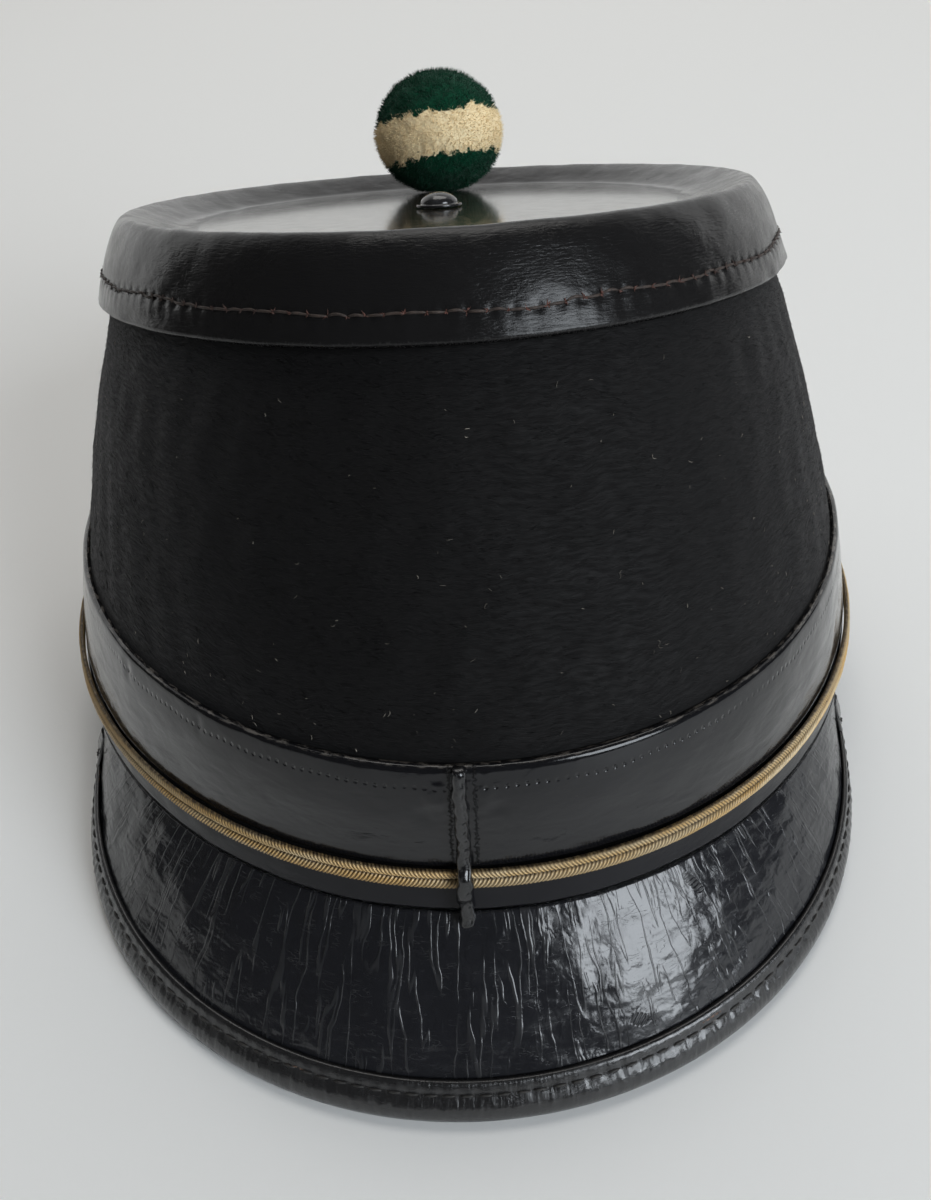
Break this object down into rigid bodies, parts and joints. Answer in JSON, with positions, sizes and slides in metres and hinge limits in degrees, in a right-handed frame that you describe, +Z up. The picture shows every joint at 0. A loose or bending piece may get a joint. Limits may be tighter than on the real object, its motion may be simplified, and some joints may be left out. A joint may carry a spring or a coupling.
{
  "type": "shako hat",
  "caption": "Tall felt shako with a sunk leather lid, a lacquered band, a gold braid, a steep bound peak and a round pompom at the edge of the lid.",
  "frame": {"origin": "middle of the bounding box's base, on the surface that the hat rests on", "axes": "+Z up from that surface, -Y the way the peak points, +Y towards the pompom's side, +X to the left of a wearer who faces -Y; the hat is tipped about X so that the edge of its peak and the far side of its foot both touch the surface"},
  "size_m": [0.1794, 0.232, 0.1226],
  "materials": {
    "black_felt": "long-napped black felt",
    "lid_leather": "waxed black leather, satin",
    "lacquered_leather": "lacquered black leather, glossy",
    "peak_leather": "cracked patent leather, glossy",
    "binding_leather": "rolled black leather, sewn",
    "gold_braid": "pale gold woven braid",
    "green_wool": "dark green wool with a cream band",
    "pin_steel": "plain steel"
  },
  "bodies": {
    "root": {"crown": "black_felt", "lid": "lid_leather", "lid_button": "lid_leather", "band": "lacquered_leather", "lower_strip": "lacquered_leather", "seam_strip": "lacquered_leather", "braid": "gold_braid", "peak": "peak_leather", "peak_binding": "binding_leather", "pompom": "green_wool", "pompom_pin": "pin_steel"}
  },
  "joints": []
}
